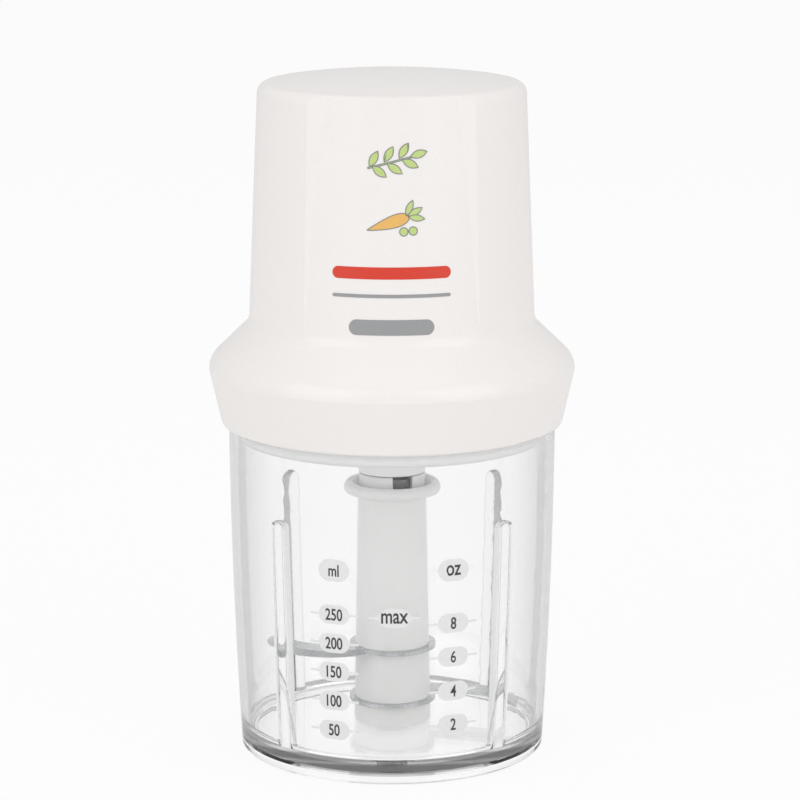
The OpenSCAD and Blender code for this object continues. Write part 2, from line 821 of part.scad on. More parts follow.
module motor_housing() {
    color(white_plastic)
    difference() {
        union() {
            difference() {
                union() {
                    rotate_extrude() difference() {
                        shell_profile([[0, lip_z], [lip_r, lip_z]], 0, neck_draft);
                        round_off(lip_c, lip_round, -90, -flare_turn);
                    }
                    at_height(gland_z)
                        rotate([-90, 0, 0])
                        cylinder(h = gland_face_y, r = gland_pad_r);
                }
                panel_cut();
                rotate_extrude()
                    shell_profile(
                        [[0, lip_z - over], [lip_in_r, lip_z - over], [lip_in_r, lip_z + lip_land]],
                        shell_wall, neck_in_draft
                    );
            }
            turned(screw_count, screw_turn)
                translate([screw_pcr, 0, plate_top_z])
                cylinder(h = screw_boss_z - plate_top_z, r = screw_boss_r);
        }
        turned(screw_count, screw_turn)
            translate([screw_pcr, 0, plate_top_z - over])
            cylinder(h = screw_len + over, r = screw_r);
        at_height(gland_z)
            rotate([-90, 0, 0])
            cylinder(h = gland_face_y + over, r = gland_r);
        for (i = [-(vent_count - 1) / 2:(vent_count - 1) / 2])
            rotate(90 + i * vent_pitch)
            translate([neck_r(vent_z) - 4 * shell_wall, 0, vent_z])
            vent();
    }
}

// One air slot with round ends, cut outwards along X
module vent() {
    depth = 8 * shell_wall;
    translate([0, -vent_w / 2, vent_w / 2]) cube([depth, vent_w, vent_h - vent_w]);
    for (z = [vent_w / 2, vent_h - vent_w / 2])
        at_height(z) rotate([0, 90, 0]) cylinder(h = depth, r = vent_w / 2, $fn = 24);
}

// What is cut away in front of the panel: it starts flush at the waist and deepens to the top
module panel_cut() {
    panel_h = edge_z + dome_rise + over - waist_z;
    cone_h = panel_h + over;
    cone_end_r = panel_low_r + (panel_top_r - panel_low_r) * cone_h / (edge_z - waist_z);
    facet_y = sqrt(pow(panel_low_r, 2) - pow(panel_half_w, 2));
    difference() {
        intersection() {
            translate([-far / 2, -far, waist_z]) cube([far, far, panel_h]);
            union() {
                panel_facet_space(-1, facet_y);
                panel_facet_space(1, facet_y);
                translate([-panel_half_w / 2, -far, waist_z - over])
                    cube([panel_half_w, far, panel_h + 2 * over]);
            }
        }
        at_height(waist_z - over) cylinder(h = over, r = panel_low_r);
        at_height(waist_z) cylinder(h = cone_h, r1 = panel_low_r, r2 = cone_end_r);
    }
}

module panel_facet_space(side, facet_y) {
    translate([side * panel_half_w, -facet_y, waist_z])
        rotate([-neck_draft, 0, side * panel_facet])
        translate([-far, -far, -far])
        cube([2 * far, far, 2 * far]);
}

module base_plate() {
    color(cream_plastic)
    difference() {
        union() {
            at_height(plate_z) cylinder(h = plate_t, r = plate_r);
            at_height(spigot_z) cylinder(h = plate_top_z - spigot_z, r = spigot_r);
            for (x = [-bolt_x, bolt_x], y = [-bolt_y, bolt_y])
                translate([x, y, plate_top_z - over])
                cylinder(h = core_z - plate_top_z + over, r = pillar_r);
            for (side = [-1, 1])
                translate([
                    switch_x - switch_half_d,
                    side * (switch_half_w - switch_pad_w / 2) - switch_pad_w / 2,
                    plate_top_z - over
                ])
                cube([2 * switch_half_d, switch_pad_w, switch_pad_h + over]);
        }
        at_height(spigot_z - over) cylinder(h = spigot_lip + 2 * over, r = shaft_r + 5 * slide_gap);
        at_height(seal_z) cylinder(h = plate_top_z - seal_z + over, r = bearing_r);
        for (x = [-bolt_x, bolt_x], y = [-bolt_y, bolt_y])
            translate([x, y, core_z - bolt_grip]) cylinder(h = bolt_grip + over, r = bolt_r + bolt_gap);
        turned(guide_count, guide_turn)
            translate([guide_pcr, 0, plate_z - over])
            cylinder(h = plate_t + 2 * over, r = guide_r + slide_gap);
        turned(screw_count, screw_turn)
            translate([screw_pcr, 0, plate_z - over])
            cylinder(h = plate_t + 2 * over, r = screw_r + bolt_gap);
        translate([switch_x, 0, plate_z - over])
            cylinder(h = plate_t + 2 * over, r = push_r + slide_gap);
    }
}

module housing_screws() {
    color(steel)
    turned(screw_count, screw_turn)
        translate([screw_pcr, 0, plate_z]) {
            at_height(-screw_head_h) cylinder(h = screw_head_h, r = screw_head_r);
            cylinder(h = plate_t + screw_len, r = screw_r);
        }
}

module shaft_seal() color(black_rubber) at_height(seal_z) ring(bearing_r, shaft_r + run_gap, seal_h);

module lower_bearing() color(brass) at_height(bearing_z) ring(bearing_r, shaft_r + run_gap, bearing_h);

module upper_bearing() color(brass) at_height(arch_z) ring(top_bearing_r, top_shaft_r + run_gap, arch_t);

// The lamination stack: a rounded yoke with two pole shoes round the armature
module stator_core() {
    color(dark_steel)
    at_height(core_z) difference() {
        linear_extrude(core_h) difference() {
            union() {
                difference() {
                    round_rect(stator_w, stator_d, stator_corner);
                    round_rect(stator_w - 2 * yoke_t, stator_d - 2 * yoke_t, cavity_corner);
                }
                for (side = [-1, 1])
                    translate([side * (stator_w / 4 + bore_r / 2), 0])
                    square([stator_w / 2 - bore_r - yoke_t / 2, 2 * pole_half_w], center = true);
                pole_shoes();
            }
            circle(r = bore_r);
        }
        for (x = [-bolt_x, bolt_x], y = [-bolt_y, bolt_y])
            translate([x, y, -over]) cylinder(h = core_h + 2 * over, r = bolt_r + bolt_gap);
    }
}

module pole_shoes() {
    reach = stator_w;
    intersection() {
        circle(r = bore_r + shoe_t);
        union() {
            for (side = [-1, 1])
                polygon([
                    [0, 0],
                    side * reach * [cos(shoe_half_angle), sin(shoe_half_angle)],
                    side * reach * [cos(shoe_half_angle), -sin(shoe_half_angle)]
                ]);
        }
    }
}

module field_coils() {
    window_h = core_h + 2 * coil_gap;
    window_w = 2 * (pole_half_w + coil_gap);
    color(copper)
    for (side = [0, 180])
        rotate(side)
        translate([coil_in_x, 0, core_z + core_h / 2])
        rotate([90, 0, 90])
        linear_extrude(coil_depth)
        difference() {
            round_rect(2 * coil_half_w, coil_top_z - coil_low_z, coil_corner);
            round_rect(window_w, window_h, coil_gap);
        }
}

// The upper motor frame: legs on the stack, a plate for the brushes and an arch for the bearing
module motor_bridge() {
    color(cream_plastic)
    difference() {
        union() {
            at_height(bridge_z)
                linear_extrude(bridge_t)
                round_rect(stator_w - bridge_inset, stator_d - bridge_inset, stator_corner);
            for (x = [-bolt_x, bolt_x], y = [-bolt_y, bolt_y])
                translate([x, y, core_top_z]) cylinder(h = bridge_z - core_top_z + over, r = pillar_r);
            for (side = [-1, 1])
                translate([
                    side * (arch_leg_x + arch_leg_t / 2) - arch_leg_t / 2,
                    -arch_w / 2,
                    bridge_top_z - over
                ])
                cube([arch_leg_t, arch_w, arch_z + arch_t - bridge_top_z + over]);
            translate([-arch_leg_x - arch_leg_t, -arch_w / 2, arch_z])
                cube([2 * (arch_leg_x + arch_leg_t), arch_w, arch_t]);
        }
        at_height(bridge_z - over)
            cylinder(h = bridge_t + over + bridge_hole_over, r = commutator_r + bridge_hole);
        at_height(arch_z - over) cylinder(h = arch_t + 2 * over, r = top_bearing_r);
        for (x = [-bolt_x, bolt_x], y = [-bolt_y, bolt_y])
            translate([x, y, core_top_z - over])
            cylinder(h = bridge_top_z - core_top_z + 2 * over, r = bolt_r + bolt_gap);
    }
}

module motor_bolts() {
    color(steel)
    for (x = [-bolt_x, bolt_x], y = [-bolt_y, bolt_y])
        translate([x, y, 0]) {
            at_height(core_z - bolt_grip) cylinder(h = bridge_top_z - core_z + bolt_grip, r = bolt_r);
            at_height(bridge_top_z) cylinder(h = bolt_head_h, r = bolt_head_r);
        }
}

// One brass box on each side guides a carbon brush to the commutator
module brush_holders() {
    tube_w = brush_w + 2 * (holder_wall + brush_gap);
    tube_h = brush_h + 2 * (holder_wall + brush_gap);
    color(brass)
    for (side = [0, 180])
        rotate(side)
        difference() {
            translate([-tube_w / 2, holder_in_y, bridge_top_z])
                cube([tube_w, holder_out_y - holder_in_y, tube_h]);
            translate([-tube_w / 2 + holder_wall, holder_in_y - over, bridge_top_z + holder_wall])
                cube([tube_w - 2 * holder_wall, holder_end_y - holder_in_y + over, tube_h - 2 * holder_wall]);
        }
}

module carbon_brushes() {
    color(graphite)
    for (side = [0, 180])
        rotate(side)
        difference() {
            translate([-brush_w / 2, commutator_r - over, brush_z])
                cube([brush_w, brush_len + brush_gap + over, brush_h]);
            at_height(brush_z - over) cylinder(h = brush_h + 2 * over, r = commutator_r + brush_gap);
        }
}

module brush_springs() {
    color(steel)
    for (side = [0, 180])
        rotate(side)
        translate([0, brush_back_y + spring_seat, brush_z + brush_h / 2])
        rotate([-90, 0, 0])
        coil_spring(
            brush_spring_r, brush_spring_wire,
            brush_spring_len - 2 * spring_seat, brush_spring_turns
        );
}

module switch_body() {
    color(graphite)
    difference() {
        translate([switch_x - switch_half_d, -switch_half_w, switch_z])
            cube([2 * switch_half_d, 2 * switch_half_w, switch_h]);
        translate([switch_x, 0, switch_z - over])
            cylinder(h = push_top_z + plunger_room - switch_z + over, r = plunger_bore_r);
    }
}

module switch_plunger() {
    color(white_plastic)
        translate([switch_x, 0, push_top_z])
        cylinder(h = plunger_h, r = plunger_r);
}

module suppressor_capacitor() {
    color(yellow_plastic)
        translate([-capacitor.x / 2, capacitor_y, plate_top_z])
        cube(capacitor);
}

// The gland's nose grips the cord, and its tail is wider inside the housing
module cord_gland() {
    color(gland_plastic)
    translate([0, gland_face_y, gland_z])
    rotate([-90, 0, 0])
    difference() {
        union() {
            at_height(-gland_tail) cylinder(h = gland_tail + over, r = gland_r);
            cylinder(h = gland_flange_t, r = gland_pad_r - gland_flange_inset);
            at_height(gland_flange_t)
                cylinder(h = gland_nose, r1 = gland_r + gland_nose_root, r2 = gland_r - gland_nose_tip);
        }
        at_height(-over) cylinder(h = gland_nose + gland_flange_t + 2 * over, r = cord_r);
        at_height(-gland_tail - over)
            cylinder(h = gland_tail + over + gland_relief_end, r = cord_r + gland_relief);
    }
}

module motor_shaft() {
    step_z = commutator_top_z + over;
    color(steel) {
        at_height(dog_bottom_z + dog_floor) cylinder(h = step_z - dog_bottom_z - dog_floor, r = shaft_r);
        at_height(step_z - over) cylinder(h = shaft_top_z - step_z + over, r = top_shaft_r);
    }
}

module armature_core() {
    color(dark_steel)
    at_height(core_z) difference() {
        ring(armature_r, shaft_r, core_h);
        turned(armature_slots, 0)
            translate([armature_r - armature_slot_d, -armature_slot_w / 2, -over])
            cube([armature_slot_d + over, armature_slot_w, core_h + 2 * over]);
    }
}

// The wound heads at both ends of the armature
module armature_windings() {
    color(copper) {
        at_height(core_top_z) winding_head();
        at_height(core_z) mirror([0, 0, 1]) winding_head();
    }
}

module winding_head() {
    head_r = armature_r - winding_inset;
    head_h = coil_over - winding_end_gap;
    hub_r = shaft_r + winding_hub;
    rotate_extrude() difference() {
        polygon([
            [hub_r, 0], [head_r, 0], [head_r, head_h],
            [hub_r + winding_hub, head_h], [hub_r, head_h - winding_hub]
        ]);
        round_off([head_r - winding_round, head_h - winding_round], winding_round, 0, 90);
    }
}

module commutator() {
    color(copper)
    at_height(commutator_z) difference() {
        ring(commutator_r, shaft_r, commutator_h);
        turned(commutator_bars, 0)
            translate([commutator_r - groove_d, -groove_w / 2, -over])
            cube([groove_d + over, groove_w, commutator_h + 2 * over]);
    }
}

module cooling_fan() {
    color(white_plastic)
    at_height(fan_z) difference() {
        union() {
            cylinder(h = fan_disc_t, r = fan_r);
            cylinder(h = fan_h, r = fan_hub_r);
            turned(fan_vanes, 0)
                translate([fan_hub_r - over, -fan_vane_t / 2, 0])
                cube([fan_r - fan_hub_r + over - fan_vane_inset, fan_vane_t, fan_h]);
        }
        at_height(-over) cylinder(h = fan_h + 2 * over, r = shaft_r);
    }
}

// A steel boss on the shaft's end, with a cross bar that turns the column's crown
module drive_dog() {
    color(dark_steel)
    at_height(dog_bottom_z) difference() {
        union() {
            cylinder(h = dog_h, r = dog_r);
            intersection() {
                rotate(lug_turn)
                    translate([-lug_w / 2, -lug_reach, 0])
                    cube([lug_w, 2 * lug_reach, lug_h]);
                cylinder(h = lug_h, r = lug_reach);
            }
        }
        at_height(dog_floor) cylinder(h = dog_h, r = shaft_r);
    }
}

bowl();
blade_spindle();
lid();
blade_column();
column_bush();
lower_blade();
upper_blade();
seat_ring();
guide_screws();
return_springs();
motor_housing();
base_plate();
housing_screws();
shaft_seal();
lower_bearing();
upper_bearing();
stator_core();
field_coils();
motor_bridge();
motor_bolts();
brush_holders();
carbon_brushes();
brush_springs();
switch_body();
suppressor_capacitor();
cord_gland();
switch_plunger();
motor_shaft();
armature_core();
armature_windings();
commutator();
cooling_fan();
drive_dog();
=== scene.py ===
# %% [markdown]
# # An electric mini chopper on a white table
# The construction model comes in first, and it stays where it is. Everything after this adds looks to it:
# a camera and soft light, finishes for its pieces, round-wire springs, and the printing on the bowl and the
# motor head.

# %% Load the construction model
import math

import bmesh
import bpy
from mathutils import Matrix, Vector
from mathutils.bvhtree import BVHTree


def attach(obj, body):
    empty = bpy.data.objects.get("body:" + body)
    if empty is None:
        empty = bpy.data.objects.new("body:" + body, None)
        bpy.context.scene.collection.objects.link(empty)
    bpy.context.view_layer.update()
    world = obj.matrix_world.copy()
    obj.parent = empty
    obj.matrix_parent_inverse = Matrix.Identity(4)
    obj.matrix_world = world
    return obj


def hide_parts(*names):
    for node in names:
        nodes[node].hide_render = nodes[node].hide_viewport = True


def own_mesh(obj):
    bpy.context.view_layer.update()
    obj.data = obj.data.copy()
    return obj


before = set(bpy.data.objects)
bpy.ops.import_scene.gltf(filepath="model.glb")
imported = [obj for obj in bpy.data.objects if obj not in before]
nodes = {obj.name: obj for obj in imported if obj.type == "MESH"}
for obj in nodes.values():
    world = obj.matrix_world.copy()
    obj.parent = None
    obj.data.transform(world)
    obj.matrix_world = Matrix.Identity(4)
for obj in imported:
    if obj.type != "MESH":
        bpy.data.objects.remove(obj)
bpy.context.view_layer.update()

scene = bpy.context.scene
MM = 0.001

# %% [markdown]
# ## The camera
# The photograph looks down on the chopper by about twelve degrees, from a metre away with a long lens,
# so upright lines stay nearly parallel. The lens follows from the image being 800 pixels wide.

# %% Camera
IMAGE_PX = 800
FOCAL_PX = 3400
SENSOR_MM = 36
PITCH = math.radians(12)
CAMERA_DISTANCE = 0.9945
AIM = Vector((0.00234, 0, 0.1031))

camera_data = bpy.data.cameras.new("camera")
camera_data.sensor_width = SENSOR_MM
camera_data.lens = SENSOR_MM * FOCAL_PX / IMAGE_PX
camera = bpy.data.objects.new("camera", camera_data)
camera.location = AIM + CAMERA_DISTANCE * Vector((0, -math.cos(PITCH), math.sin(PITCH)))
camera.rotation_euler = (math.radians(90) - PITCH, 0, 0)
scene.collection.objects.link(camera)
scene.camera = camera
scene.view_settings.view_transform = "Standard"
print("camera lens:", round(camera_data.lens, 1), "mm")

# %% [markdown]
# ## The white sky
# The chopper stands in a white sky, as in a photographer's light tent. Rays that come straight from the
# camera, or by way of the clear bowl, see plain white, so the object stands on white without more light
# falling on it. Mirror rays see part of that white, and the dimmer sky in the rest draws the outline of the
# glossy head.

# %% Node helpers
def add_node(tree, kind, **values):
    """Adds a shader node; each value goes to a setting or, by its name, to an input."""
    node = tree.nodes.new(kind)
    for name, value in values.items():
        if hasattr(node, name):
            setattr(node, name, value)
        else:
            node.inputs[name.replace("_", " ")].default_value = value
    return node


def math_node(tree, operation, first, second):
    """One sum of two links, or of a link and a number."""
    node = add_node(tree, "ShaderNodeMath", operation=operation)
    tree.links.new(first, node.inputs[0])
    if isinstance(second, float):
        node.inputs[1].default_value = second
    else:
        tree.links.new(second, node.inputs[1])
    return node.outputs[0]


# %% Sky
WHITE = (1, 1, 1, 1)
SKY_LIGHT = 0.62
MIRROR_SHARE = 0.25
BEFORE_FIRST_SCATTER = 0.5


def seen_straight(tree):
    """How much plain white a ray sees that no matte surface has scattered: all, or a mirror's share."""
    path = add_node(tree, "ShaderNodeLightPath").outputs
    seen = math_node(tree, "MULTIPLY", path["Is Glossy Ray"], MIRROR_SHARE)
    seen = math_node(tree, "MAXIMUM", seen, path["Is Camera Ray"])
    seen = math_node(tree, "MAXIMUM", seen, path["Is Transmission Ray"])
    unscattered = math_node(tree, "LESS_THAN", path["Diffuse Depth"], BEFORE_FIRST_SCATTER)
    return math_node(tree, "MULTIPLY", seen, unscattered)


world = bpy.data.worlds.new("light_tent")
scene.world = world
world.use_nodes = True
sky = world.node_tree
sky.nodes.clear()
sky_out = add_node(sky, "ShaderNodeOutputWorld")
lit = add_node(sky, "ShaderNodeBackground", Color=WHITE, Strength=SKY_LIGHT)
plain = add_node(sky, "ShaderNodeBackground", Color=WHITE, Strength=1.0)
sky_mix = add_node(sky, "ShaderNodeMixShader")
sky.links.new(seen_straight(sky), sky_mix.inputs[0])
sky.links.new(lit.outputs[0], sky_mix.inputs[1])
sky.links.new(plain.outputs[0], sky_mix.inputs[2])
sky.links.new(sky_mix.outputs[0], sky_out.inputs[0])
print("sky light:", SKY_LIGHT)

# %% [markdown]
# ## The table
# One large square lies just under the bowl's foot. Seen straight it is nearly all plain white, like the sky,
# so no horizon shows, and the matte rest of it keeps a soft shadow.

# %% Table
TABLE_SIZE = 8.0
TABLE_GAP = 0.2 * MM
table_form = bmesh.new()
bmesh.ops.create_grid(table_form, x_segments=1, y_segments=1, size=TABLE_SIZE / 2)
bmesh.ops.translate(table_form, verts=table_form.verts, vec=(0, 0, -TABLE_GAP))
table_mesh = bpy.data.meshes.new("table")
table_form.to_mesh(table_mesh)
table_form.free()
table = bpy.data.objects.new("table", table_mesh)
scene.collection.objects.link(table)

TABLE_WHITE = 0.93
TABLE_GLOW = 0.9
table_finish = bpy.data.materials.new("white_table")
table_finish.use_nodes = True
tree = table_finish.node_tree
tree.nodes.clear()
table_out = add_node(tree, "ShaderNodeOutputMaterial")
matte = add_node(tree, "ShaderNodeBsdfDiffuse", Color=(TABLE_WHITE, TABLE_WHITE, TABLE_WHITE, 1))
glow = add_node(tree, "ShaderNodeEmission", Color=WHITE, Strength=1.0)
table_mix = add_node(tree, "ShaderNodeMixShader")
tree.links.new(math_node(tree, "MULTIPLY", seen_straight(tree), TABLE_GLOW), table_mix.inputs[0])
tree.links.new(matte.outputs[0], table_mix.inputs[1])
tree.links.new(glow.outputs[0], table_mix.inputs[2])
tree.links.new(table_mix.outputs[0], table_out.inputs[0])
table_mesh.materials.append(table_finish)
print("table:", TABLE_SIZE, "m square")

# %% [markdown]
# ## The lamps
# A weak softbox hangs above, and two large ones stand in front, to the left and the right. A large lamp of
# low brightness shades round forms softly, and it leaves no burnt patch where a glossy surface mirrors it.

# %% Lamps
def softbox(name, place, size, power):
    """A rectangular soft lamp that faces the middle of the object."""
    lamp = bpy.data.lights.new(name, "AREA")
    lamp.shape = "RECTANGLE"
    lamp.size, lamp.size_y = size
    lamp.energy = power
    holder = bpy.data.objects.new(name, lamp)
    holder.location = place
    holder.rotation_euler = (AIM - Vector(place)).to_track_quat("-Z", "Y").to_euler()
    scene.collection.objects.link(holder)


softbox("top_softbox", place=(0, 0.1, 1.5), size=(1.2, 1.2), power=2.0)
for name, side in (("left_softbox", -1), ("right_softbox", 1)):
    softbox(name, place=(side * 1.35, -1.2, 1.0), size=(1.7, 1.9), power=10.4)
print("lamps:", len(bpy.data.lights))

# %% [markdown]
# ## Light in clear plastic
# A rib of clear plastic guides light along its length, and a ray is turned back inside it many times before
# it gets out. A ray that runs out of bounces goes black, so the limit is high. Mirror rays aren't blurred,
# which keeps the lines along the ribs sharp.

# %% Light paths
CLEAR_BOUNCES = 96
scene.cycles.max_bounces = CLEAR_BOUNCES
scene.cycles.glossy_bounces = CLEAR_BOUNCES
scene.cycles.transmission_bounces = CLEAR_BOUNCES
scene.cycles.blur_glossy = 0.0
print("light may bounce", CLEAR_BOUNCES, "times in the clear bowl")

# %% [markdown]
# ## Finishes
# Each finish starts from a Principled shader. Noise changes its colour and roughness a little, and a fine
# bump breaks up the reflections, because no moulded or turned surface is perfectly even.
# The noise can be stretched along one axis, which turns it into brush marks or drawn wire.

# %% Finish helper
NOISE_DETAIL = 4.0
NOISE_LOW, NOISE_HIGH = 0.3, 0.7
RELIEF_DEPTH = 0.2 * MM


def finish(name, colour, rough, grain=400.0, stretch=(1, 1, 1), tint=0.04, bump=0.03, spread=0.06,
           **sockets):
    """A Principled material whose colour, roughness and bump follow one noise."""
    material = bpy.data.materials.new(name)
    material.use_nodes = True
    tree = material.node_tree
    shader = tree.nodes["Principled BSDF"]
    for socket, value in sockets.items():
        shader.inputs[socket.replace("_", " ")].default_value = value
    place = add_node(tree, "ShaderNodeTexCoord")
    turn = add_node(tree, "ShaderNodeMapping", Scale=stretch)
    noise = add_node(tree, "ShaderNodeTexNoise", Scale=grain, Detail=NOISE_DETAIL)
    tree.links.new(place.outputs["Object"], turn.inputs["Vector"])
    tree.links.new(turn.outputs["Vector"], noise.inputs["Vector"])
    shade = add_node(tree, "ShaderNodeValToRGB")
    low, high = shade.color_ramp.elements
    low.position, high.position = NOISE_LOW, NOISE_HIGH
    low.color = (*(part * (1 - tint) for part in colour), 1)
    high.color = (*colour, 1)
    tree.links.new(noise.outputs["Fac"], shade.inputs["Fac"])
    tree.links.new(shade.outputs["Color"], shader.inputs["Base Color"])
    gloss = add_node(tree, "ShaderNodeMapRange", To_Min=rough - spread / 2, To_Max=rough + spread / 2)
    tree.links.new(noise.outputs["Fac"], gloss.inputs["Value"])
    tree.links.new(gloss.outputs["Result"], shader.inputs["Roughness"])
    relief = add_node(tree, "ShaderNodeBump", Strength=bump, Distance=RELIEF_DEPTH)
    tree.links.new(noise.outputs["Fac"], relief.inputs["Height"])
    tree.links.new(relief.outputs["Normal"], shader.inputs["Normal"])
    return material


# %% [markdown]
# ### Plastics
# The head is a glossy warm white moulding, and the lid a milky one. The bowl is clear: its shader bends the
# light, which draws the dark lines along the ribs and the foot, and painted shade in its colour darkens its
# outline and the floor's edge. Inside the head are plain technical plastics.

# %% Plastics
head_white = finish("head_white", (0.918, 0.884, 0.866), 0.24, grain=900, bump=0.012, tint=0.015)
column_white = finish("column_white", (0.88, 0.875, 0.87), 0.38, grain=700, tint=0.03)
milky = finish("milky_lid", (0.94, 0.94, 0.938), 0.32, grain=500, tint=0.01, IOR=1.5)
clear = finish("clear_bowl", (0.998, 0.998, 0.998), 0.03, grain=60, bump=0.0, tint=0.006, spread=0.02,
               Transmission_Weight=1.0, IOR=1.5)
seat_white = finish("seat_white", (0.74, 0.735, 0.725), 0.45, grain=700)
glass_filled = finish("glass_filled_cream", (0.66, 0.59, 0.44), 0.55, grain=1500, tint=0.2, bump=0.1)
gland_grey = finish("gland_grey", (0.70, 0.695, 0.685), 0.5, grain=800)
boxed_yellow = finish("boxed_yellow", (0.64, 0.42, 0.04), 0.35, grain=300)
switch_black = finish("switch_black", (0.025, 0.025, 0.028), 0.45, grain=900, tint=0.3)
seal_rubber = finish("seal_rubber", (0.02, 0.02, 0.02), 0.7, grain=1200, tint=0.3, bump=0.1)
print("plastics made")

# %% [markdown]
# ### Painted shade on the edges of the clear plastic
# Clear plastic darkens where light runs a long way through it, and volume absorption does this for the
# light's real path. On a white set it isn't enough to draw the outline, so shade is painted into the wall's
# colour where it is seen at a low angle, in place of the dark edges that real glassware shows. The floor is a
# thick plate. A ramp over the height paints shade on the ring where the plate meets the outside; it stands in
# for the grey of light that enters the plate's edge and runs the whole width of the bowl.

# %% Painted shade on the edges of the clear plastic
SMOKE = (0.2, 0.21, 0.22, 1)
SMOKE_DENSITY = 7.0
WALL_FOOT = 6.6 * MM
FLOOR_TOP = 6.4 * MM
# Painted shade at the wall's outline: the colour darkens as the wall is seen more edge-on.
PAINTED_EDGE_SHADES = ((0.0, 1.0), (0.34, 0.97), (0.52, 0.86), (0.62, 0.79), (0.75, 0.51))
# Painted shade on the floor plate's edge ring, between its underside and its top.
PAINTED_FLOOR_EDGE_SHADES = ((0.477, 1.0), (0.515, 0.24), (0.97, 0.24), (0.997, 1.0))


def paint_shade_into_base(tree, along, stops):
    """Paints shade into the base colour: multiplies it by a grey ramp of (position, shade) stops; gives the
    mixing node.
    """
    ramp = add_node(tree, "ShaderNodeValToRGB")
    while len(ramp.color_ramp.elements) < len(stops):
        ramp.color_ramp.elements.new(0.5)
    for stop, (position, shade) in zip(ramp.color_ramp.elements, stops):
        stop.position = position
        stop.color = (shade, shade, shade, 1)
    mix = add_node(tree, "ShaderNodeMix", data_type="RGBA", blend_type="MULTIPLY", Factor=1.0)
    base = tree.nodes["Principled BSDF"].inputs["Base Color"]
    tree.links.new(along, ramp.inputs["Fac"])
    tree.links.new(base.links[0].from_socket, mix.inputs["A"])
    tree.links.new(ramp.outputs["Color"], mix.inputs["B"])
    tree.links.new(mix.outputs["Result"], base)
    return mix


tree = clear.node_tree
smoke = add_node(tree, "ShaderNodeVolumeAbsorption", Color=SMOKE, Density=SMOKE_DENSITY)
tree.links.new(smoke.outputs["Volume"], tree.nodes["Material Output"].inputs["Volume"])
place = add_node(tree, "ShaderNodeTexCoord")
axes = add_node(tree, "ShaderNodeSeparateXYZ")
tree.links.new(place.outputs["Object"], axes.inputs[0])
height = axes.outputs["Z"]
# Painted shade at the outline, only on the wall above the floor.
painted_edge_facing = add_node(tree, "ShaderNodeLayerWeight", Blend=0.5).outputs["Facing"]
painted_edge_shade_mix = paint_shade_into_base(tree, painted_edge_facing, PAINTED_EDGE_SHADES)
tree.links.new(math_node(tree, "GREATER_THAN", height, WALL_FOOT), painted_edge_shade_mix.inputs["Factor"])
# Painted shade on the floor plate's edge ring, by height.
paint_shade_into_base(tree, math_node(tree, "DIVIDE", height, FLOOR_TOP), PAINTED_FLOOR_EDGE_SHADES)
print("clear plastic: edge shades", len(PAINTED_EDGE_SHADES), "floor shades", len(PAINTED_FLOOR_EDGE_SHADES))

# %% [markdown]
# ### Metals
# Turned steel shows fine rings, ground blades show straight scratches, and laminations show one line for
# each sheet. Stretching the noise along an axis gives these for the cost of one Mapping node.

# %% Metals
ALONG_X = (0.03, 1, 1)
SHEETS = (0.02, 0.02, 1)
steel = finish("turned_steel", (0.60, 0.60, 0.61), 0.3, grain=1500, stretch=SHEETS, spread=0.15,
               Metallic=1.0)
blade = finish("ground_blade", (0.50, 0.51, 0.52), 0.26, grain=2500, stretch=ALONG_X, spread=0.2,
               Metallic=1.0)
spring_wire = finish("drawn_spring_wire", (0.52, 0.52, 0.53), 0.28, grain=1800, stretch=SHEETS, spread=0.12,
                     Metallic=1.0)
laminated = finish("laminated_steel", (0.17, 0.17, 0.18), 0.42, grain=2000, stretch=SHEETS, tint=0.5,
                   bump=0.3, Metallic=1.0)
dog_steel = finish("dog_steel", (0.20, 0.20, 0.205), 0.36, grain=900, tint=0.25, Metallic=1.0)
bronze = finish("sintered_bronze", (0.52, 0.34, 0.14), 0.42, grain=2500, tint=0.35, bump=0.2, Metallic=1.0)
brass = finish("pressed_brass", (0.62, 0.44, 0.17), 0.3, grain=600, Metallic=1.0)
wire = finish("enamelled_wire", (0.48, 0.17, 0.06), 0.34, grain=1600, stretch=SHEETS, tint=0.55, bump=0.6,
              Metallic=1.0)
bars = finish("copper_bars", (0.58, 0.27, 0.13), 0.28, grain=700, stretch=SHEETS, tint=0.2, Metallic=1.0)
carbon = finish("carbon_block", (0.03, 0.03, 0.032), 0.55, grain=2500, tint=0.5, bump=0.2)
print("metals made")

# %% [markdown]
# ### Which piece has which finish
# Each construction piece takes the finish of what the real one is made of: bronze for the bearings,
# laminated sheets for the motor's cores, enamelled wire for its coils, carbon for its brushes.

# %% Finishes on the construction pieces
NODE_FINISH = {
    "bowl": clear, "blade_spindle": steel, "lid": milky,
    "blade_column": column_white, "column_bush": bronze, "lower_blade": blade, "upper_blade": blade,
    "seat_ring": seat_white, "guide_screws": steel, "return_springs": steel,
    "motor_housing": head_white, "base_plate": seat_white, "housing_screws": steel,
    "shaft_seal": seal_rubber, "lower_bearing": bronze, "upper_bearing": bronze,
    "stator_core": laminated, "field_coils": wire, "motor_bridge": glass_filled, "motor_bolts": steel,
    "brush_holders": brass, "carbon_brushes": carbon, "brush_springs": steel,
    "switch_body": switch_black, "suppressor_capacitor": boxed_yellow, "cord_gland": gland_grey,
    "switch_plunger": column_white,
    "motor_shaft": steel, "armature_core": laminated, "armature_windings": wire, "commutator": bars,
    "cooling_fan": seat_white, "drive_dog": dog_steel,
}
for name, piece in nodes.items():
    piece.data.materials.clear()
    piece.data.materials.append(NODE_FINISH[name])
print("finishes on", len(NODE_FINISH), "pieces")

# %% [markdown]
# ## New pieces
# A new piece is drawn as one or more bmesh forms, which are then collected in one mesh. The finished object
# stays at the origin, and it rides on the body of the mechanism that carries it.

